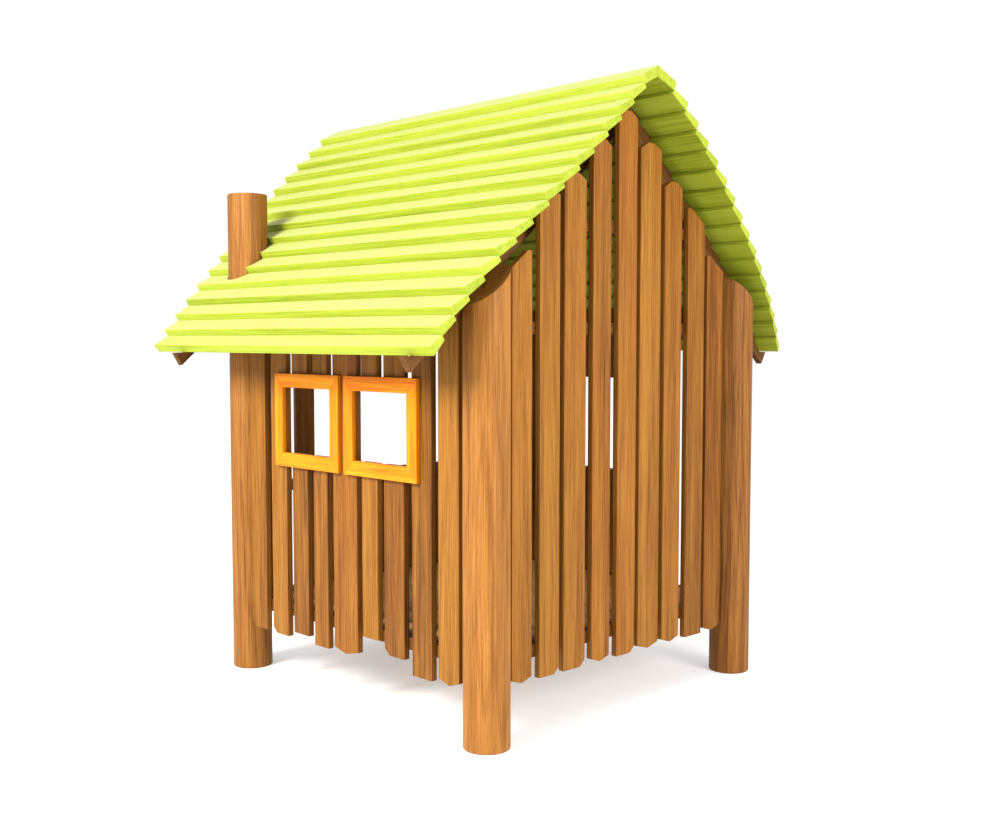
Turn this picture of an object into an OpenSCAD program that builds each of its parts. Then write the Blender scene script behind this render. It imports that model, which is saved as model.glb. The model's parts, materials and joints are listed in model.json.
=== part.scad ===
// Wooden log playhouse: four round corner posts, plank walls, a bowed lime roof of stepped boards.
// X runs along the ridge, the window wall faces -Y and the plank gable faces +X. Millimetres.
// The origin is on the ground, under the middle of the outer box.

/* [Posts] */
// Diameter of a corner post
post_d = 140; // [120:2:160]
// Distance between post centres along the ridge
post_span_x = 1247; // [1100:1:1500]
// Distance between post centres across the ridge
post_span_y = 1205; // [1080:1:1450]
// Height of the chimney post
chimney_h = 1706; // [1550:1:1950]
// Drop from the roof boards' seats to the slanted cut of a short post, at its axis
post_drop = 88; // [80:1:105]
// Angle of the slanted cut on a short post
post_cut_a = 40; // [30:1:48]
// Width of the worn edge at the foot of a post
post_edge = 3; // [1:0.5:8]

/* [Roof] */
// Number of boards on one slope
roof_boards = 16; // [14:1:18]
// Rise from one roof board to the next
board_rise = 54.75; // [45:0.25:66]
// Depth of a roof board's lower edge, its thick side
board_t = 28; // [22:1:34]
// Depth of a roof board's upper edge, its thin side
board_top_t = 18; // [14:1:22]
// Step from one board's inner face to the next
board_step = 13; // [8:0.5:13.5]
// Angle of the boards' long edges from upright
edge_lean = 28; // [20:1:34]
// Depth of the two ridge boards where they meet
ridge_t = 35; // [28:1:42]
// Rise from the first board seat to the ridge
ridge_rise = 44; // [36:1:54]
// Share by which a ridge board runs further than the next one
ridge_share = 0.12; // [0:0.01:0.2]
// Share by which the lowest board runs less far, which gives the roof its bow
bow = 0.56; // [0.3:0.01:0.6]
// Height of the lowest board seat
eave_seat_h = 1187; // [1175:1:1400]
// Reach of the lowest board seat past the post centres
eave_reach = 201; // [170:1:240]
// Reach of the roof past the posts on the plank gable side
reach_right = 144; // [110:1:220]
// Reach of the roof past the posts on the doorway side
reach_left = 281; // [150:1:320]
// How far the right verge draws back from ridge to eave
verge_bow = 109; // [0:1:120]
// How far the left verge draws in at its waist
verge_waist = 89; // [0:1:120]
// How far the left verge kicks back out from its waist to the eave
verge_kick = 42; // [0:1:60]
// How far both verges draw back at the ridge
ridge_draw = 12; // [0:1:30]
// Gap between neighbouring roof boards
board_gap = 0.4; // [0.2:0.1:1]
// Gap between the chimney post and the boards round it
chimney_gap = 2.5; // [1:0.5:6]

/* [Rafters] */
// Thickness of a rafter
rafter_t = 23; // [18:1:30]
// Distance from the left posts' centre line out to the near face of the left rafters
rafter_off = 42; // [36:1:50]
// Gap between the right gable's rails and the right rafters
rafter_gap = 1.5; // [1:0.5:5]
// Reach of the rafter tail past the last board seat
tail_run = 46; // [30:1:60]
// Drop of the rafter tail's tip below the last board seat
tail_drop = 89; // [74:1:110]
// How far the tail's upper corner stands out past its tip
tail_out = 26; // [10:1:34]
// Depth of a rafter at the ridge
ridge_depth = 160; // [130:1:200]

/* [Walls] */
// Thickness of a wall plank
plank_t = 21; // [16:1:28]
// Nominal width of a wall plank
plank_w = 90; // [80:1:94]
// Distance from the post centres out to the faces of the long walls' planks
wall_set = 41.5; // [32:0.5:52]
// Distance from the post centres out to the faces of the gables' planks
gable_set = 20.5; // [16:0.5:32]
// Height of the planks' lower ends on the long walls
wall_low = 162; // [120:1:200]
// Height of the planks' lower ends on the gables
gable_low = 169; // [120:1:200]
// Gap from the long walls' planks up to the roof boards' seats
wall_gap = 90; // [80:1:105]
// Distance from the roof boards down to the top of a gable plank
gable_drop = 86; // [70:1:120]
// Size of the corner cuts on the plank ends
nip = 20; // [8:1:28]

/* [Rails and floor] */
// Height of a rail
rail_h = 38; // [30:1:50]
// Thickness of a rail
rail_t = 40; // [30:1:44]
// Height of the low rails' upper face, level with the floor
floor_h = 269; // [240:1:320]
// Height of the top rails' upper face
rail_top_h = 1242; // [1200:1:1260]
// Height of the gable rails' upper face
rail_gable_h = 1560; // [1480:1:1600]
// Length of a gable rail
rail_gable_l = 760; // [600:1:820]
// Thickness of a floor board
floor_t = 18; // [15:1:24]
// Number of floor boards
floor_n = 12; // [8:1:14]
// Gap between floor boards
floor_gap = 5; // [2:1:8]
// Height of a floor joist
joist_h = 30; // [24:1:45]

/* [Windows and doorway] */
// Outer width of a front window frame
frame_w = 363; // [300:1:372]
// Outer height of a front window frame
frame_h = 317; // [260:1:330]
// Width of the frame's rails
frame_rail = 47; // [35:1:60]
// Thickness of a window frame
frame_t = 15; // [12:1:22]
// Height of the middle of the windows
window_h = 915; // [900:1:960]
// Gap between the two front frames
frame_part = 29; // [20:1:40]
// Outer width of the back window frame
back_frame_w = 370; // [300:1:420]
// Outer height of the back window frame
back_frame_h = 454; // [380:1:470]
// Height of the middle of the back window
back_window_h = 858; // [840:1:900]
// Distance of the back window's middle from the house's middle, away from the doorway
back_window_x = 45; // [20:1:70]
// Width of the wide opening in the left gable
hatch_w = 640; // [560:1:660]
// Height of the sill of that opening
hatch_sill = 680; // [600:1:760]

/* [Hidden] */
// Gap left between two pieces that bear on each other
fit = 0.3;
$fn = 96;

wood = "peru";
wood_dark = "sienna";
lime = "greenyellow";
amber = "orange";

post_r = post_d / 2;
// The roof reaches further on the doorway side, so the posts sit off the middle of the outer box.
house_x = (reach_left - reach_right) / 2;
px = post_span_x / 2;
py = post_span_y / 2;
// Inner faces of the planks and of the rails, on the gables (x) and on the long walls (y)
plank_x = px + gable_set - plank_t;
plank_y = py + wall_set - plank_t;
rail_in_x = plank_x - rail_t;
rail_in_y = plank_y - rail_t;
// Face of a rafter that is nearest to the right end of the house
function rafter_near(sx) = sx > 0 ? rail_in_x - rafter_gap : -px - rafter_off;

// ---- Roof profile: seat k is the inner upper corner of board k + 1, counted from the ridge ----
function run_share(k) = (k == 1 ? 1 + ridge_share : 1) * (1 - bow * pow(k / roof_boards, 5));
function run_sum(k) = k == 0 ? 0 : run_sum(k - 1) + run_share(k);
function seat_y(k) = (py + eave_reach) * run_sum(k) / run_sum(roof_boards - 1);
function seat_z(k) = eave_seat_h + (roof_boards - 1 - k) * board_rise
  + (k == 0 ? ridge_rise - board_rise : 0);
function seat(k) = [seat_y(k), seat_z(k)];
// Direction of a board's long edges, and its lower inner corner, one step off the seat below
edge = [sin(edge_lean), cos(edge_lean)];
function foot(k) = seat(k) + board_step * edge - board_gap * [edge[1], -edge[0]];
// Height of the seat line at a distance y from the ridge
function seat_at(y) = lookup(y, [for (k = [0:roof_boards]) seat(k)]);
eave_y = foot(roof_boards)[0] + board_t * edge[0];
ridge_top = seat_z(0) + ridge_t;
wall_top = seat_at(py + wall_set) - wall_gap;
post_cut_h = seat_at(py) - post_drop;

// Plan shape of the roof: how far each verge stands from the post centres at a distance y
waist_y = 0.87 * eave_y;
crown_y = 0.163 * eave_y;
shoulder_y = 0.25 * eave_y;
function at_ridge(y) = ridge_draw * pow(max(0, 1 - y / crown_y), 2);
function verge_r(y) = px + reach_right - at_ridge(y) -
  verge_bow * pow(max(0, y - crown_y) / (eave_y - crown_y), 2);
function verge_l(y) = px + reach_left - at_ridge(y) -
  verge_waist * (1 - cos(180 * max(0, y - shoulder_y) / (waist_y - shoulder_y))) / 2 +
  verge_kick * pow(max(0, y - waist_y) / (eave_y - waist_y), 3);
plan_steps = [for (i = [0:24]) i * (eave_y + 4) / 24];

// ---- Wall planks: width and middle of each, and the shape of its lower end ----
// P is pointed, L has its left corner cut, R has its right corner cut and F is square.
front_w = [1.03, 1.02, 0.98, 0.86, 1.4, 0.88, 1.07, 1.0, 1.0] * plank_w;
front_x = [-509, -377, -252, -135, 0, 129, 250, 382, 503] * (px - post_r - plank_w / 2) / 508.5;
front_end = ["L", "L", "F", "F", "P", "F", "L", "F", "P"];
front_lift = [0, 0, 21, 0, 2, 76, 40, 0, 3];
gable_w = [0.92, 0.96, 1.08, 0.94, 1.0, 1.15, 1.0, 1.02, 1.03] * plank_w;
gable_y = [-478, -360, -248, -125, -2, 113, 232, 358, 466] * (py - post_r - plank_w / 2) / 487.5;
gable_end = ["P", "R", "R", "P", "R", "P", "P", "F", "P"];
gable_head = ["L", "L", "P", "P", "P", "P", "P", "R", "R"];
gable_fall = [42, -18, 0, 0, 0, 0, 0, -22, 29];
left_side_w = 0.9 * plank_w;
left_side_y = hatch_w / 2 + left_side_w / 2;
left_y = [-left_side_y - 118, -left_side_y, left_side_y, left_side_y + 118];

open_w = frame_w - 2 * frame_rail;
open_h = frame_h - 2 * frame_rail;
frame_x = (frame_w + frame_part) / 2;

// Outline of a plank seen from outside, standing on y = low with its top at high
function plank_shape(w, low, high, foot_cut, head_cut) = concat(
  foot_cut == "P" ? [[-w / 2, low + nip * 0.7], [0, low], [w / 2, low + nip * 0.7]] :
  foot_cut == "L" ? [[-w / 2, low + nip], [-w / 2 + nip * 1.1, low], [w / 2, low]] :
  foot_cut == "R" ? [[-w / 2, low], [w / 2 - nip * 1.1, low], [w / 2, low + nip]] :
  [[-w / 2, low], [w / 2, low]],
  head_cut == "P" ? [[w / 2, high - nip], [w * 0.14, high], [-w * 0.14, high], [-w / 2, high - nip]] :
  head_cut == "L" ? [[w / 2, high], [w * 0.3, high], [-w / 2, high - nip * 2.6]] :
  head_cut == "R" ? [[w / 2, high - nip * 2.6], [-w * 0.3, high], [-w / 2, high]] :
  [[w / 2, high], [-w / 2, high]]
);

module plank(w, low, high, foot_cut, head_cut) {
  rotate([90, 0, 0])
    linear_extrude(plank_t)
      polygon(plank_shape(w, low, high, foot_cut, head_cut));
}

// A piece drawn for the window wall, whose outer face lies on y = 0, put in its place
module on_front() {
  translate([house_x, -plank_y, 0]) children();
}
module on_back() {
  translate([house_x, plank_y, 0]) rotate([0, 0, 180]) children();
}
module on_right() {
  translate([house_x + plank_x, 0, 0]) rotate([0, 0, 90]) children();
}
module on_left() {
  translate([house_x - plank_x, 0, 0]) rotate([0, 0, -90]) children();
}

// ---- Posts ----
module post_body(h) {
  cylinder(h = post_edge, r1 = post_r - post_edge * 0.7, r2 = post_r);
  translate([0, 0, post_edge]) cylinder(h = h - post_edge, r = post_r);
}

// Lower edge of the rafters as a height over the distance from the ridge
tail_tip = [seat_y(roof_boards - 1) + tail_run, seat_z(roof_boards - 1) - tail_drop];
function rafter_low(y) =
  tail_tip[1] + (1 - y / tail_tip[0]) * (seat_z(0) - ridge_depth - tail_tip[1]);

// Space that the rafter takes in the side of a post: everything beyond its near face, up to
// a height over the seat line
module rafter_seat(sx, over) {
  rotate([90, 0, 90])
    translate([0, 0, rafter_near(sx) - post_d])
      linear_extrude(post_d)
        polygon(concat(
          [for (i = [-4:4]) [py + i * post_r / 3, rafter_low(py + i * post_r / 3) - fit]],
          [for (i = [4:-1:-4]) [py + i * post_r / 3, seat_at(py + i * post_r / 3) + over]]
        ));
}

module short_post(sx, sy) {
  color(wood)
    translate([house_x, 0, 0])
        mirror([0, sy < 0 ? 1 : 0, 0])
          difference() {
            translate([sx * px, py, 0]) post_body(post_cut_h + post_d);
            translate([sx * px, py, post_cut_h])
              rotate([-post_cut_a, 0, 0])
                translate([-post_d, -2 * post_d, 0]) cube([2 * post_d, 4 * post_d, 4 * post_d]);
            rafter_seat(sx, post_d);
          }
}

module post_front_right() { short_post(1, -1); }
module post_back_right() { short_post(1, 1); }
module post_back_left() { short_post(-1, 1); }

module post_chimney() {
  color(wood)
    translate([house_x, 0, 0])
      mirror([0, 1, 0])
        difference() {
          translate([-px, py, 0]) {
            post_body(chimney_h - post_edge);
            translate([0, 0, chimney_h - post_edge])
              cylinder(h = post_edge, r1 = post_r, r2 = post_r - post_edge * 0.7);
          }
          rafter_seat(-1, 1.7 * board_step);
        }
}

// ---- Rails, scribed round the posts at their ends ----
module post_space() {
  for (sx = [-1, 1])
    for (sy = [-1, 1])
      translate([house_x + sx * px, sy * py, 0]) cylinder(h = 2000, r = post_r + fit);
}

module rail_x(side, top) {
  color(wood_dark)
    difference() {
      translate([house_x - px, side > 0 ? rail_in_y : -plank_y, top - rail_h])
        cube([2 * px, rail_t, rail_h]);
      post_space();
    }
}

module rail_y(side, top) {
  color(wood_dark)
    difference() {
      translate([house_x + (side > 0 ? rail_in_x : -plank_x), -py, top - rail_h])
        cube([rail_t, 2 * py, rail_h]);
      post_space();
    }
}

module rail_front_low() { rail_x(-1, floor_h); }
module rail_front_top() { rail_x(-1, rail_top_h); }
module rail_back_low() { rail_x(1, floor_h); }
module rail_back_top() { rail_x(1, rail_top_h); }
module rail_right_low() { rail_y(1, floor_h); }
module rail_right_top() { rail_y(1, rail_top_h); }
module rail_left_low() { rail_y(-1, floor_h); }
module rail_left_top() { rail_y(-1, rail_top_h); }

// A high rail on each gable, and the one under the sill of the left gable's opening
module gable_rails() {
  color(wood_dark)
    for (x = [rail_in_x, -plank_x])
      translate([house_x + x, -rail_gable_l / 2, rail_gable_h - rail_h])
        cube([rail_t, rail_gable_l, rail_h]);
  rail_y(-1, hatch_sill - nip / 2);
}

// ---- Rafters: bowed upper edge notched for each board, straight lower edge ----
function rafter_top() = [
  for (k = [1:roof_boards])
    for (p = [seat(k - 1), foot(k)]) [max(p[0] - 1.3 * fit, fit), p[1] - 0.9 * fit]
];

module rafter(sx, sy) {
  color(wood_dark)
    translate([house_x, 0, 0])
      mirror([0, sy < 0 ? 1 : 0, 0])
        rotate([90, 0, 90])
          translate([0, 0, rafter_near(sx) - fit - rafter_t])
            linear_extrude(rafter_t)
              polygon(concat(
                rafter_top(),
                [
                  [tail_tip[0] + tail_out, foot(roof_boards)[1] - 5 * fit],
                  tail_tip,
                  [fit, rafter_low(0)]
                ]
              ));
}

module rafter_right_front() { rafter(1, -1); }
module rafter_right_back() { rafter(1, 1); }
module rafter_left_front() { rafter(-1, -1); }
module rafter_left_back() { rafter(-1, 1); }

// ---- Floor ----
floor_w = (2 * rail_in_y - 2 * fit - (floor_n - 1) * floor_gap) / floor_n;

module floor_joists() {
  color(wood_dark)
    for (x = [-0.62, 0, 0.62] * rail_in_x)
      translate([house_x + x - rail_t / 2, -rail_in_y + fit, floor_h - floor_t - joist_h - fit])
        cube([rail_t, 2 * rail_in_y - 2 * fit, joist_h]);
}

module floor_planks() {
  color(wood)
    difference() {
      for (i = [0:floor_n - 1])
        translate([
          house_x - rail_in_x + fit,
          -rail_in_y + fit + i * (floor_w + floor_gap),
          floor_h - floor_t
        ])
          cube([2 * rail_in_x - 2 * fit, floor_w, floor_t]);
      post_space();
    }
}

// ---- Window frames: four mitred pieces each ----
// A mitred piece along the lower side of a frame w wide and h high, then turned to each side
module mitred(length) {
  rotate([90, 0, 0])
    linear_extrude(frame_t)
      polygon([
        [-length / 2 + fit, 0],
        [length / 2 - fit, 0],
        [length / 2 - frame_rail - fit, frame_rail],
        [-length / 2 + frame_rail + fit, frame_rail]
      ]);
}

module window_frame(w, h) {
  color(amber) {
    translate([0, 0, -h / 2]) mitred(w);
    translate([0, 0, h / 2]) rotate([0, 180, 0]) mitred(w);
    translate([-w / 2, 0, 0]) rotate([0, 90, 0]) mitred(h);
    translate([w / 2, 0, 0]) rotate([0, -90, 0]) mitred(h);
  }
}

module window_frame_left() {
  on_front() translate([-frame_x, -plank_t - fit, window_h]) window_frame(frame_w, frame_h);
}
module window_frame_right() {
  on_front() translate([frame_x, -plank_t - fit, window_h]) window_frame(frame_w, frame_h);
}
module window_frame_back() {
  on_back()
    translate([back_window_x, -plank_t - fit, back_window_h])
      window_frame(back_frame_w, back_frame_h);
}

// ---- Window wall ----
// Space behind the two front frames that is clear of planks
module front_window_space() {
  for (s = [-1, 1])
    translate([s * frame_x, 0, window_h])
      cube([open_w + 2, 4 * plank_t, open_h + 2], center = true);
}

// Planks 3, 4, 6 and 7 stop under the windows and start again above them.
module front_plank(i) {
  cut = i == 2 || i == 3 || i == 5 || i == 6;
  color(wood)
    on_front()
      difference() {
        translate([front_x[i], 0, 0])
          plank(
            front_w[i],
            wall_low + front_lift[i],
            cut ? window_h - open_h / 2 - 1 : wall_top,
            front_end[i],
            "F"
          );
        front_window_space();
      }
}

module front_plank_1() { front_plank(0); }
module front_plank_2() { front_plank(1); }
module front_plank_3() { front_plank(2); }
module front_plank_4() { front_plank(3); }
module front_plank_5() { front_plank(4); }
module front_plank_6() { front_plank(5); }
module front_plank_7() { front_plank(6); }
module front_plank_8() { front_plank(7); }
module front_plank_9() { front_plank(8); }

module front_plank_tops() {
  color(wood)
    on_front()
      for (i = [2, 3, 5, 6])
        translate([front_x[i], 0, 0])
          plank(front_w[i], window_h + open_h / 2 + 1, wall_top, "F", "F");
}

// ---- Plank gable ----
module gable_plank(i) {
  color(wood)
    on_right()
      translate([gable_y[i], 0, 0])
        plank(
          gable_w[i],
          gable_low,
          seat_at(abs(gable_y[i])) - gable_drop + (gable_head[i] == "P" ? 0 : 18) - gable_fall[i],
          gable_end[i],
          gable_head[i]
        );
}

module gable_plank_1() { gable_plank(0); }
module gable_plank_2() { gable_plank(1); }
module gable_plank_3() { gable_plank(2); }
module gable_plank_4() { gable_plank(3); }
module gable_plank_5() { gable_plank(4); }
module gable_plank_6() { gable_plank(5); }
module gable_plank_7() { gable_plank(6); }
module gable_plank_8() { gable_plank(7); }
module gable_plank_9() { gable_plank(8); }

// ---- Back wall: a window beside the doorway, which runs from the window's jamb plank to a post ----
back_open_w = back_frame_w - 2 * frame_rail;
back_open_h = back_frame_h - 2 * frame_rail;
// Seen from the back, +x is towards the left gable.
jamb_w = 0.72 * plank_w;
jamb_x = back_window_x - back_open_w / 2 - 1 - jamb_w / 2;
beside_x = back_window_x + back_open_w / 2 + 1 + plank_w / 2;
last_x = px - post_r - plank_w / 2 - 3;
door_left = jamb_x - jamb_w / 2;
door_w = px - post_r + door_left;

module back_planks_full() {
  color(wood)
    on_back() {
      translate([jamb_x, 0, 0]) plank(jamb_w, wall_low, wall_top, "P", "F");
      for (i = [0:2])
        translate([beside_x + i * (last_x - beside_x) / 2, 0, 0])
          plank(plank_w, wall_low, wall_top, "P", "F");
    }
}

// Three planks fill the width under and over the window.
module back_planks_short() {
  color(wood)
    on_back()
      for (i = [-1, 0, 1])
        translate([back_window_x + i * back_open_w / 3, 0, 0])
          plank(back_open_w / 3 - 4, wall_low, back_window_h - back_open_h / 2 - 1, "P", "F");
}

module back_planks_over() {
  color(wood)
    on_back() {
      for (i = [-1, 0, 1])
        translate([back_window_x + i * back_open_w / 3, 0, 0])
          plank(back_open_w / 3 - 4, back_window_h + back_open_h / 2 + 1, wall_top, "F", "F");
      for (i = [0.5, 1.5, 2.5])
        translate([door_left - 8 - i * (door_w - 16) / 3, 0, 0])
          plank(plank_w, rail_top_h - rail_h + 2, wall_top, "F", "F");
    }
}

// ---- Left gable with its wide opening ----
module left_planks_side() {
  color(wood)
    on_left()
      for (y = left_y)
        translate([y, 0, 0])
          plank(
            left_side_w,
            gable_low,
            seat_at(abs(y)) - gable_drop - (abs(y) > 1.2 * left_side_y ? 40 : 0),
            "P",
            y < 0 ? "L" : "R"
          );
}

module left_planks_middle() {
  color(wood)
    on_left() {
      for (y = [-2.5, -1.5, -0.5, 0.5, 1.5, 2.5] * hatch_w / 6)
        translate([y, 0, 0]) plank(hatch_w / 6 - 8, gable_low, hatch_sill, "P", "F");
      for (y = [-2, -1, 0, 1, 2] * hatch_w * 0.195)
        translate([y, 0, 0])
          plank(plank_w, rail_top_h - rail_h + 2, seat_at(abs(y)) - gable_drop, "F", "P");
    }
}

// ---- Roof boards ----
// Cross-section of board k, thicker towards its lower edge; board 1 is cut upright at the ridge
module board_section(k) {
  polygon([
    k == 1 ? [board_gap / 2, seat_z(0)] : seat(k - 1),
    foot(k),
    foot(k) + board_t * edge,
    k == 1 ? [board_gap / 2, ridge_top] : seat(k - 1) + board_top_t * edge
  ]);
}

module board(k) {
  rotate([90, 0, 90])
    translate([0, 0, -2 * px])
      linear_extrude(4 * px) board_section(k);
}

// Upright prism of the roof's plan, one half
module roof_plan() {
  linear_extrude(2 * ridge_top)
    polygon(concat(
      [for (y = plan_steps) [verge_r(y), y]],
      [for (i = [24:-1:0]) [-verge_l(plan_steps[i]), plan_steps[i]]]
    ));
}

module roof_boards(sy, first, last) {
  color(lime)
    translate([house_x, 0, 0])
      mirror([0, sy < 0 ? 1 : 0, 0])
        for (k = [first:last])
          difference() {
            intersection() {
              board(k);
              roof_plan();
            }
            if (sy < 0)
              translate([-px, py, 0]) cylinder(h = 2 * ridge_top, r = post_r + chimney_gap);
          }
}

module roof_front_1() { roof_boards(-1, 1, 2); }
module roof_front_2() { roof_boards(-1, 3, 4); }
module roof_front_3() { roof_boards(-1, 5, 6); }
module roof_front_4() { roof_boards(-1, 7, 8); }
module roof_front_5() { roof_boards(-1, 9, roof_boards - 5); }
module roof_front_6() { roof_boards(-1, roof_boards - 4, roof_boards - 2); }
module roof_front_7() { roof_boards(-1, roof_boards - 1, roof_boards); }
module roof_back_1() { roof_boards(1, 1, 2); }
module roof_back_2() { roof_boards(1, 3, 4); }
module roof_back_3() { roof_boards(1, 5, 6); }
module roof_back_4() { roof_boards(1, 7, 8); }
module roof_back_5() { roof_boards(1, 9, roof_boards - 5); }
module roof_back_6() { roof_boards(1, roof_boards - 4, roof_boards - 2); }
module roof_back_7() { roof_boards(1, roof_boards - 1, roof_boards); }

post_front_right();
post_chimney();
post_back_right();
post_back_left();
rail_front_low();
rail_front_top();
rail_back_low();
rail_back_top();
rail_right_low();
rail_right_top();
rail_left_low();
rail_left_top();
gable_rails();
rafter_right_front();
rafter_right_back();
rafter_left_front();
rafter_left_back();
floor_joists();
floor_planks();
window_frame_left();
window_frame_right();
window_frame_back();
front_plank_1();
front_plank_2();
front_plank_3();
front_plank_4();
front_plank_5();
front_plank_6();
front_plank_7();
front_plank_8();
front_plank_9();
front_plank_tops();
gable_plank_1();
gable_plank_2();
gable_plank_3();
gable_plank_4();
gable_plank_5();
gable_plank_6();
gable_plank_7();
gable_plank_8();
gable_plank_9();
back_planks_full();
back_planks_short();
back_planks_over();
left_planks_side();
left_planks_middle();
roof_front_1();
roof_front_2();
roof_front_3();
roof_front_4();
roof_front_5();
roof_front_6();
roof_front_7();
roof_back_1();
roof_back_2();
roof_back_3();
roof_back_4();
roof_back_5();
roof_back_6();
roof_back_7();
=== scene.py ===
"""Looks of the log playhouse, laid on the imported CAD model.

Each solid of each node becomes one piece. Its triangles are merged into whole faces, its sharp edges
are rounded, and it gets a grain, a tint and wear of its own. Lengths are in metres.
"""

import json
import math
import random

import bmesh
import bpy
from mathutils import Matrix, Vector


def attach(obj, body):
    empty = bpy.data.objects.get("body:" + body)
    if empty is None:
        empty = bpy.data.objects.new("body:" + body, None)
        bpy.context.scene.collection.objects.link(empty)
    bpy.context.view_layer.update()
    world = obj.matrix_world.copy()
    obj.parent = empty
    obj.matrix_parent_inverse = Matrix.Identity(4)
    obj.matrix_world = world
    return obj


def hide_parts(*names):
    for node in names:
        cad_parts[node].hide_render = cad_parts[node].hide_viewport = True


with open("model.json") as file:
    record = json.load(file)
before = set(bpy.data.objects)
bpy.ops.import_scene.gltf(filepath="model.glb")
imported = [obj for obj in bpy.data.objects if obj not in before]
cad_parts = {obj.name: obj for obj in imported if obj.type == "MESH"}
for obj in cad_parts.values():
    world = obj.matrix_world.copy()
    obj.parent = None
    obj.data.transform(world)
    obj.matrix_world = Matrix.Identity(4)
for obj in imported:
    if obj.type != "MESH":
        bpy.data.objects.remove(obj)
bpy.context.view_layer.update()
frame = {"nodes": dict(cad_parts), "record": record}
nodes = frame["nodes"]

# Camera, solved from the photo's perspective. Tilt and turn are in degrees
CAMERA_PLACE = (3.1669, -2.9484, 1.1909)
CAMERA_TILT = 86.31
CAMERA_TURN = 46.28
CAMERA_LENS = 42.884
CAMERA_SHIFT = (0.0081, -0.0008)
SENSOR_WIDTH = 36.0

# A bright world fills every side; two soft lamps shape the front wall and the gable
WORLD_STRENGTH = 1.0
KEY_LAMP = {"location": (0.2, -5.4, 4.2), "target": (0, -0.3, 1.0), "size": 2.6, "power": 760,
            "colour": (1, 0.985, 0.95)}
SIDE_LAMP = {"location": (5.4, 0.0, 2.4), "target": (0, 0, 0.9), "size": 2.4, "power": 285,
             "colour": (1, 0.98, 0.95)}

# Ground that renders white: light grey, with a little glow
GROUND_HALF = 30.0
GROUND_GREY = 0.6
GROUND_GLOW = 0.4
GROUND_ROUGH = 0.9

# Sockets of the Mix node when it mixes colours
MIX_FACTOR, MIX_A, MIX_B, MIX_RESULT = 0, 6, 7, 2

# Noise in the wood: cycles a metre along and across the board, detail, roughness, distortion
NOISE_FIELDS = {
    "drift": (0.9, 7.0, 2.0, 0.55, 0.0),
    "fibre": (5.0, 260.0, 4.0, 0.6, 0.0),
    "fine": (22.0, 900.0, 2.0, 0.6, 0.0),
    "band": (1.1, 34.0, 3.0, 0.6, 0.4),
    "cloud": (2.2, 7.0, 2.0, 0.55, 0.0),
    "pore": (34.0, 620.0, 1.0, 0.55, 0.0),
    "rub": (9.0, 60.0, 3.0, 0.55, 0.0),
}
RING_WANDER = 0.022
LATE_WOOD = [(0.0, (0.1,) * 3), (0.62, (0.35,) * 3), (0.9, (1,) * 3), (1.0, (0.1,) * 3)]

# Ranges that a noise, or a normal's upward part, is stretched from; four numbers say to what too
PORE_RANGE = (0.66, 0.74)
FINE_RANGE = (0.35, 0.7)
FIBRE_RANGE = (0.3, 0.7)
CLOUD_RANGE = (0.3, 0.7, 0.35, 1.0)
RUB_RANGE = (0.35, 0.65, 0.15, 0.6)
# Band noise stretched to the share of painted highlight on up-facing faces, which are paled in patches
# as if lit from above
TOP_LIGHT_BAND_RANGE = (0.3, 0.7, 0.72, 0.92)
UPWARD_RANGE = (0.5, 0.82)

# Shares of each effect in the wood's colour, and where the dark, middle and light tones stand
BAND_SHARE = 0.75
FIBRE_SHARE = 0.95
BODY_OFFSET = 0.36
TINT_SHARE = 0.2
TONE_STOPS = (0.18, 0.46, 0.74)
PORE_SHARE = 0.42
PORE_DEPTH = 0.45
FINE_SHARE = 0.10
EDGE_SHARE = 0.85
PALE_GAIN = 1.2
PALE_LIFT = 0.01

# Surface of the wood: gloss, roughness between and on the fibres and in pores, and relief
GLOSS = 0.14
ROUGH_BETWEEN = 0.08
ROUGH_ON_FIBRE = 0.06
ROUGH_IN_PORE = 0.15
FIBRE_HEIGHT = 0.6
LATE_HEIGHT = 0.3
PORE_HOLLOW = 0.9
BUMP_STRENGTH = 0.45
BUMP_DEPTH = 0.0012

# Rounding of the edges
POST_ROUND = 0.0025
BOARD_ROUND = 0.002
FRAME_ROUND = 0.0014
ROUND_STEPS = 2
ROUND_PROFILE = 0.6
WELD_GAP = 1e-5
FLAT_ANGLE = math.radians(1.0)
SHARP_ANGLE = math.radians(24)

# Grain of each piece: where the tree's pith lies from its middle, and how far the pattern slides
POST_PITH = 0.012
BOARD_PITH_SIDE = 0.07
BOARD_PITH_DEPTH = (0.04, 0.12)
GRAIN_SLIDE = 40
PITH_SEED = 1000
WOOD_SEED = 5000
RAFTER_FALL = (0.74, -0.67)  # out and down, along a rafter
STEEP = 0.8  # upright part of a grain direction, past which y and not z gives its side
UPRIGHT_NODES = ("post", "front_plank", "gable_plank", "back_planks", "left_planks")


# ---------------------------------------------------------------- camera and light
def make_camera():
    data = bpy.data.cameras.new("camera")
    data.lens = CAMERA_LENS
    data.sensor_width = SENSOR_WIDTH
    data.shift_x, data.shift_y = CAMERA_SHIFT
    cam = bpy.data.objects.new("camera", data)
    cam.location = CAMERA_PLACE
    cam.rotation_euler = (math.radians(CAMERA_TILT), 0, math.radians(CAMERA_TURN))
    bpy.context.scene.collection.objects.link(cam)
    bpy.context.scene.camera = cam


def area_light(name, location, target, size, power, colour):
    data = bpy.data.lights.new(name, "AREA")
    data.shape = "DISK"
    data.size = size
    data.energy = power
    data.color = colour
    light = bpy.data.objects.new(name, data)
    light.location = location
    aim = Vector(target) - Vector(location)
    light.rotation_euler = aim.to_track_quat("-Z", "Y").to_euler()
    bpy.context.scene.collection.objects.link(light)


def make_stage():
    world = bpy.data.worlds.new("world")
    bpy.context.scene.world = world
    world.use_nodes = True
    background = world.node_tree.nodes["Background"]
    background.inputs["Color"].default_value = (1, 1, 1, 1)
    background.inputs["Strength"].default_value = WORLD_STRENGTH
    area_light("key", **KEY_LAMP)
    area_light("side", **SIDE_LAMP)
    bpy.context.scene.view_settings.view_transform = "Standard"
    bpy.context.scene.view_settings.look = "None"


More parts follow.
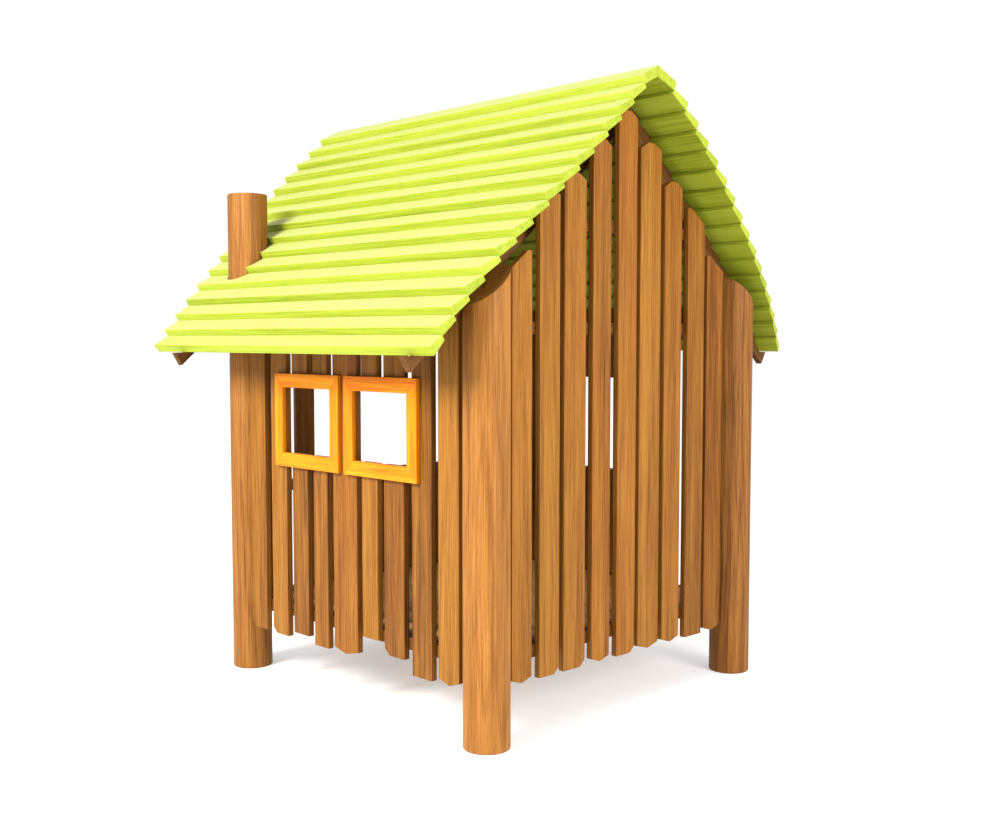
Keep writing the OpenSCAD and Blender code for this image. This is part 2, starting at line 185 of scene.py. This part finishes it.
# ---------------------------------------------------------------- node helpers
class Shader:
    """Builds one node material by short calls."""

    def __init__(self, name):
        self.mat = bpy.data.materials.new(name)
        self.mat.use_nodes = True
        self.tree = self.mat.node_tree
        self.bsdf = self.tree.nodes["Principled BSDF"]

    def node(self, kind, **props):
        n = self.tree.nodes.new("ShaderNode" + kind)
        for key, value in props.items():
            setattr(n, key, value)
        return n

    def link(self, a, b):
        self.tree.links.new(a, b)

    def put(self, socket, value):
        if isinstance(value, bpy.types.NodeSocket):
            self.link(value, socket)
        else:
            socket.default_value = value

    def attribute(self, name, output="Fac"):
        return self.node("Attribute", attribute_name=name).outputs[output]

    def math(self, operation, a, b=0.0):
        n = self.node("Math", operation=operation)
        self.put(n.inputs[0], a)
        self.put(n.inputs[1], b)
        return n.outputs[0]

    def vector(self, operation, a, b=(0, 0, 0)):
        n = self.node("VectorMath", operation=operation)
        self.put(n.inputs[0], a)
        self.put(n.inputs[1], b)
        return n.outputs["Value" if operation == "LENGTH" else "Vector"]

    def noise(self, at, detail, rough, distort):
        n = self.node("TexNoise", noise_dimensions="3D")
        self.put(n.inputs["Vector"], at)
        n.inputs["Scale"].default_value = 1.0
        n.inputs["Detail"].default_value = detail
        n.inputs["Roughness"].default_value = rough
        n.inputs["Distortion"].default_value = distort
        return n.outputs["Fac"]

    def ramp(self, value, stops):
        n = self.node("ValToRGB")
        elements = n.color_ramp.elements
        while len(elements) < len(stops):
            elements.new(0.5)
        for element, (place, colour) in zip(elements, stops):
            element.position = place
            element.color = (*colour, 1)
        self.put(n.inputs["Fac"], value)
        return n.outputs["Color"]

    def range(self, value, low, high, to_low=0.0, to_high=1.0):
        n = self.node("MapRange", clamp=True)
        for socket, v in zip(n.inputs, (value, low, high, to_low, to_high)):
            self.put(socket, v)
        return n.outputs["Result"]

    def mix(self, share, a, b, blend="MIX"):
        n = self.node("Mix", data_type="RGBA", blend_type=blend, clamp_factor=True)
        self.put(n.inputs[MIX_FACTOR], share)
        for place, value in ((MIX_A, a), (MIX_B, b)):
            self.put(n.inputs[place], value if isinstance(value, bpy.types.NodeSocket) else (*value, 1))
        return n.outputs[MIX_RESULT]


def linear(colour):
    """0-255 display colour to scene colour."""
    out = []
    for c in colour:
        c /= 255
        out.append(c / 12.92 if c <= 0.04045 else ((c + 0.055) / 1.055) ** 2.4)
    return tuple(out)


# ---------------------------------------------------------------- wood
class Wood(Shader):
    """Sawn or turned wood. The attribute 'grain' holds metres along, across and through the board,
    measured from its pith; 'tint' and 'rosy' are one value a board; 'wear' marks rounded edges."""

    def __init__(self, name, ring_gap):
        super().__init__(name)
        self.at = self.attribute("grain", "Vector")
        self.late = self.late_wood(ring_gap)
        self.fibre = self.field("fibre")
        self.band = self.field("band")
        self.pore = self.range(self.field("pore"), *PORE_RANGE)

    def field(self, kind):
        """Noise drawn out along the board, as NOISE_FIELDS says."""
        along, across, detail, rough, distort = NOISE_FIELDS[kind]
        stretched = self.vector("MULTIPLY", self.at, (along, across, across))
        return self.noise(stretched, detail, rough, distort)

    def late_wood(self, ring_gap):
        """Growth rings round the pith, with a slow wander; 1 is the dark end of a ring."""
        flat = self.vector("MULTIPLY", self.at, (0.0, 1.0, 1.0))
        radius = self.vector("LENGTH", flat)
        wander = self.math("MULTIPLY", self.math("SUBTRACT", self.field("drift"), 0.5), RING_WANDER)
        bent = self.math("ADD", radius, wander)
        ring = self.math("FRACT", self.math("DIVIDE", bent, ring_gap))
        return self.ramp(ring, LATE_WOOD)

    def clean(self, tones, streak):
        """Colour of the wood before wear: bands, fibres, the board's tint and the late wood."""
        bands = self.math("MULTIPLY", self.band, BAND_SHARE)
        fibres = self.math("MULTIPLY", self.fibre, FIBRE_SHARE)
        tint = self.math("MULTIPLY", self.math("SUBTRACT", self.attribute("tint"), 0.5), TINT_SHARE)
        body = self.math("SUBTRACT", self.math("ADD", bands, fibres), BODY_OFFSET)
        body = self.math("ADD", body, tint)
        body = self.math("SUBTRACT", body, self.math("MULTIPLY", self.late, streak))
        return self.ramp(body, list(zip(TONE_STOPS, tones)))

    def reddened(self, colour, rosy):
        """Some boards are redder than others, in clouds."""
        clouds = self.range(self.field("cloud"), *CLOUD_RANGE)
        share = self.math("MULTIPLY", self.attribute("rosy"), clouds)
        return self.mix(share, colour, self.mix(1.0, colour, rosy, "MULTIPLY"))

    def speckled(self, colour, dark, light):
        """Dark pores and fine light fibres."""
        deep = tuple(c * PORE_DEPTH for c in dark)
        colour = self.mix(self.math("MULTIPLY", self.pore, PORE_SHARE), colour, deep)
        fine = self.range(self.field("fine"), *FINE_RANGE)
        return self.mix(self.math("MULTIPLY", fine, FINE_SHARE), colour, light)

    def edged(self, colour, light, edge):
        """Rounded edges take the edge colour where there is one, and else are rubbed pale in patches."""
        wear = self.attribute("wear")
        if edge:
            return self.mix(self.math("MULTIPLY", wear, EDGE_SHARE), colour, linear(edge))
        patches = self.range(self.field("rub"), *RUB_RANGE)
        pale = tuple(min(1.0, c * PALE_GAIN + PALE_LIFT) for c in light)
        return self.mix(self.math("MULTIPLY", wear, patches), colour, pale)

    def painted_top_light(self, colour, top_light_colour):
        """Painted highlight: what faces up is mixed, in patches along the bands, towards a pale colour
        that stands in for light falling from above.
        """
        facing = self.node("SeparateXYZ")
        self.link(self.node("NewGeometry").outputs["Normal"], facing.inputs[0])
        upward = self.range(facing.outputs["Z"], *UPWARD_RANGE)
        # Share of the painted highlight: faces that point up, in the paler bands
        top_light_share = self.math("MULTIPLY", upward, self.range(self.band, *TOP_LIGHT_BAND_RANGE))
        return self.mix(top_light_share, colour, linear(top_light_colour))

    def surface(self, rough, bump):
        """Roughness and relief that follow the fibres, the late wood and the pores."""
        fibres = self.range(self.fibre, *FIBRE_RANGE, rough + ROUGH_BETWEEN, rough - ROUGH_ON_FIBRE)
        roughness = self.math("ADD", fibres, self.math("MULTIPLY", self.pore, ROUGH_IN_PORE))
        self.link(roughness, self.bsdf.inputs["Roughness"])
        self.bsdf.inputs["Specular IOR Level"].default_value = GLOSS
        raised = self.math("ADD", self.math("MULTIPLY", self.fibre, FIBRE_HEIGHT),
                           self.math("MULTIPLY", self.late, LATE_HEIGHT))
        height = self.math("SUBTRACT", raised, self.math("MULTIPLY", self.pore, PORE_HOLLOW))
        bumped = self.node("Bump")
        bumped.inputs["Strength"].default_value = BUMP_STRENGTH * bump
        bumped.inputs["Distance"].default_value = BUMP_DEPTH
        self.link(height, bumped.inputs["Height"])
        self.link(bumped.outputs["Normal"], self.bsdf.inputs["Normal"])


def wood(name, dark, mid, light, ring_gap, streak, rough, bump=1.0, rosy=None, edge=None, top_light_colour=None):
    """A wood material. All colours are 0-255 display colours but rosy, which is a multiplier."""
    dark, mid, light = (linear(tone) for tone in (dark, mid, light))
    s = Wood(name, ring_gap)
    colour = s.clean((dark, mid, light), streak)
    if rosy:
        colour = s.reddened(colour, rosy)
    colour = s.speckled(colour, dark, light)
    colour = s.edged(colour, light, edge)
    # Painted highlight: faces that point up are paled as if lit from above
    if top_light_colour:
        colour = s.painted_top_light(colour, top_light_colour)
    s.link(colour, s.bsdf.inputs["Base Color"])
    s.surface(rough, bump)
    return s.mat


MATERIALS = {
    "post_wood": wood("post_wood", (88, 48, 15), (130, 84, 33), (158, 108, 48),
                      ring_gap=0.0055, streak=0.16, rough=0.5, rosy=(1.0, 0.84, 0.86)),
    "plank_wood": wood("plank_wood", (84, 46, 11), (124, 78, 23), (150, 102, 35),
                       ring_gap=0.006, streak=0.15, rough=0.52, rosy=(0.95, 0.8, 0.86)),
    # The rail's tones are the plank wood's at about 0.7 times: painted shade for the rail, which stands
    # in the shadow behind the planks
    "rail_wood": wood("rail_wood", (58, 32, 11), (88, 54, 21), (110, 71, 31),
                      ring_gap=0.007, streak=0.12, rough=0.58),
    "floor_wood": wood("floor_wood", (120, 82, 48), (160, 118, 74), (186, 146, 100),
                       ring_gap=0.007, streak=0.12, rough=0.55),
    "frame_wood": wood("frame_wood", (176, 74, 2), (204, 118, 5), (218, 142, 11),
                       ring_gap=0.008, streak=0.16, rough=0.42, edge=(196, 74, 4)),
    "roof_wood": wood("roof_wood", (116, 134, 24), (146, 158, 42), (158, 170, 56),
                      ring_gap=0.009, streak=0.1, rough=0.55, bump=0.8, edge=(160, 168, 72),
                      # Pale colour for faces that point up: painted highlight standing in for the light
                      # on the tops of the boards
                      top_light_colour=(158, 163, 96)),
}


# ---------------------------------------------------------------- boards
def connected(start, seen):
    """The vertices that edges join to the start, each added to seen."""
    group = []
    queue = [start]
    seen.add(start.index)
    while queue:
        vertex = queue.pop()
        group.append(vertex)
        for edge in vertex.link_edges:
            other = edge.other_vert(vertex)
            if other.index not in seen:
                seen.add(other.index)
                queue.append(other)
    return group


def copied(group):
    """A bmesh of its own with these vertices and their faces."""
    part = bmesh.new()
    new = {v.index: part.verts.new(v.co) for v in group}
    faces = {f.index: f for v in group for f in v.link_faces}
    for face in faces.values():
        part.faces.new([new[v.index] for v in face.verts])
    return part


def place_key(part):
    """Mean corner of a part to a tenth of a millimetre, to sort parts in a steady order."""
    count = len(part.verts)
    return tuple(round(sum(v.co[i] for v in part.verts) / count, 4) for i in range(3))


def loose_parts(mesh):
    """Splits a CAD mesh into welded bmeshes, one for each solid, in a steady order."""
    whole = bmesh.new()
    whole.from_mesh(mesh)
    bmesh.ops.remove_doubles(whole, verts=whole.verts, dist=WELD_GAP)
    whole.verts.ensure_lookup_table()
    seen = set()
    parts = []
    for vertex in whole.verts:
        if vertex.index not in seen:
            parts.append(copied(connected(vertex, seen)))
    whole.free()
    return sorted(parts, key=place_key)


def rounded(part, width):
    """Flattens the CAD triangles into whole faces and rounds every sharp edge."""
    bmesh.ops.recalc_face_normals(part, faces=part.faces)
    bmesh.ops.dissolve_limit(part, angle_limit=FLAT_ANGLE, verts=part.verts, edges=part.edges,
                             delimit={"NORMAL"})
    sharp = [e for e in part.edges if len(e.link_faces) == 2 and e.calc_face_angle(0) > SHARP_ANGLE]
    done = bmesh.ops.bevel(part, geom=sharp, offset=width, offset_type="OFFSET", segments=ROUND_STEPS,
                           profile=ROUND_PROFILE, affect="EDGES", clamp_overlap=True)
    return set(done["faces"])


def worn_mesh(name, part, worn):
    """The bmesh as a mesh, with 'wear' 1 at the corners of the rounded faces."""
    wear_layer = part.faces.layers.float.new("wear_face")
    for f in part.faces:
        f[wear_layer] = 1.0 if f in worn else 0.0
        f.smooth = True
    mesh = bpy.data.meshes.new(name)
    part.to_mesh(mesh)
    wear = [0.0] * len(mesh.loops)
    flags = mesh.attributes["wear_face"].data
    for p in mesh.polygons:
        for i in p.loop_indices:
            wear[i] = flags[p.index].value
    mesh.attributes.remove(mesh.attributes["wear_face"])
    mesh.attributes.new("wear", "FLOAT", "CORNER").data.foreach_set("value", wear)
    return mesh


def lay_grain(mesh, grain_axis, pith, slide):
    """Writes 'grain': metres along, across and through the board, measured from its pith."""
    along = Vector(grain_axis).normalized()
    other = Vector((0, 0, 1)) if abs(along.z) < STEEP else Vector((0, 1, 0))
    side = along.cross(other).normalized()
    through = along.cross(side)
    centre = sum((v.co for v in mesh.vertices), Vector()) / len(mesh.vertices)
    values = []
    for v in mesh.vertices:
        d = v.co - centre
        values += [d.dot(along) + slide, d.dot(side) + pith[0], d.dot(through) + pith[1]]
    mesh.attributes.new("grain", "FLOAT_VECTOR", "POINT").data.foreach_set("vector", values)


def make_piece(name, part, worn, slot, grain_axis, pith, seed, node):
    """Turns a finished bmesh into a piece with its grain, tint and wear attributes."""
    rng = random.Random(seed)
    mesh = worn_mesh(name, part, worn)
    lay_grain(mesh, grain_axis, pith, rng.uniform(-GRAIN_SLIDE, GRAIN_SLIDE))
    shades = {"tint": rng.random(), "rosy": rng.random() ** 2}
    for shade, value in shades.items():
        layer = mesh.attributes.new(shade, "FLOAT", "POINT")
        layer.data.foreach_set("value", [value] * len(mesh.vertices))
    mesh.materials.append(MATERIALS[slot])
    piece = bpy.data.objects.new(name, mesh)
    bpy.context.scene.collection.objects.link(piece)
    normals = piece.modifiers.new("normals", "WEIGHTED_NORMAL")
    normals.keep_sharp = True
    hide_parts(node)
    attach(piece, "root")


def part_centre(part):
    return sum((v.co for v in part.verts), Vector()) / len(part.verts)


def grain_of(node, part):
    """Way that the grain runs: down a rafter, up a post or wall plank, else along the longest side."""
    if node.startswith("rafter"):
        outward = 1 if part_centre(part).y > 0 else -1
        out, down = RAFTER_FALL
        return Vector((0, out * outward, down))
    size = [max(v.co[i] for v in part.verts) - min(v.co[i] for v in part.verts) for i in range(3)]
    axis = max(range(3), key=lambda i: size[i])
    if node.startswith(UPRIGHT_NODES):
        axis = 2
    return Vector([1.0 if i == axis else 0.0 for i in range(3)])


def pith_of(rng, is_post):
    """Across and through, from the pith to the piece's middle: near it in a post, off it in a board."""
    if is_post:
        return (rng.uniform(-POST_PITH, POST_PITH), rng.uniform(-POST_PITH, POST_PITH))
    sideways = rng.uniform(-BOARD_PITH_SIDE, BOARD_PITH_SIDE)
    return (sideways, rng.choice((-1, 1)) * rng.uniform(*BOARD_PITH_DEPTH))


def edge_round(slot):
    """Width of the rounding of the edges in each material."""
    return {"post_wood": POST_ROUND, "frame_wood": FRAME_ROUND}.get(slot, BOARD_ROUND)


def slot_of(node):
    return next(r["material_slot"] for r in frame["record"]["subparts"] if r["node"] == node)


def build_boards():
    count = 0
    for node in sorted(nodes):
        slot = slot_of(node)
        for i, part in enumerate(loose_parts(nodes[node].data)):
            count += 1
            grain_axis = grain_of(node, part)
            worn = rounded(part, edge_round(slot))
            pith = pith_of(random.Random(PITH_SEED + count), node.startswith("post"))
            make_piece(f"{node}.{i + 1}", part, worn, slot, grain_axis, pith, WOOD_SEED + count, node)
            part.free()


def build_floor():
    mesh = bpy.data.meshes.new("ground")
    corners = [(x * GROUND_HALF, y * GROUND_HALF, 0) for x, y in ((-1, -1), (1, -1), (1, 1), (-1, 1))]
    mesh.from_pydata(corners, [], [(0, 1, 2, 3)])
    ground = bpy.data.objects.new("ground", mesh)
    s = Shader("ground")
    s.bsdf.inputs["Base Color"].default_value = (GROUND_GREY, GROUND_GREY, GROUND_GREY, 1)
    s.bsdf.inputs["Emission Color"].default_value = (1, 1, 1, 1)
    s.bsdf.inputs["Emission Strength"].default_value = GROUND_GLOW
    s.bsdf.inputs["Specular IOR Level"].default_value = 0.0
    s.bsdf.inputs["Roughness"].default_value = GROUND_ROUGH
    mesh.materials.append(s.mat)
    bpy.context.scene.collection.objects.link(ground)


make_camera()
make_stage()
build_boards()
build_floor()
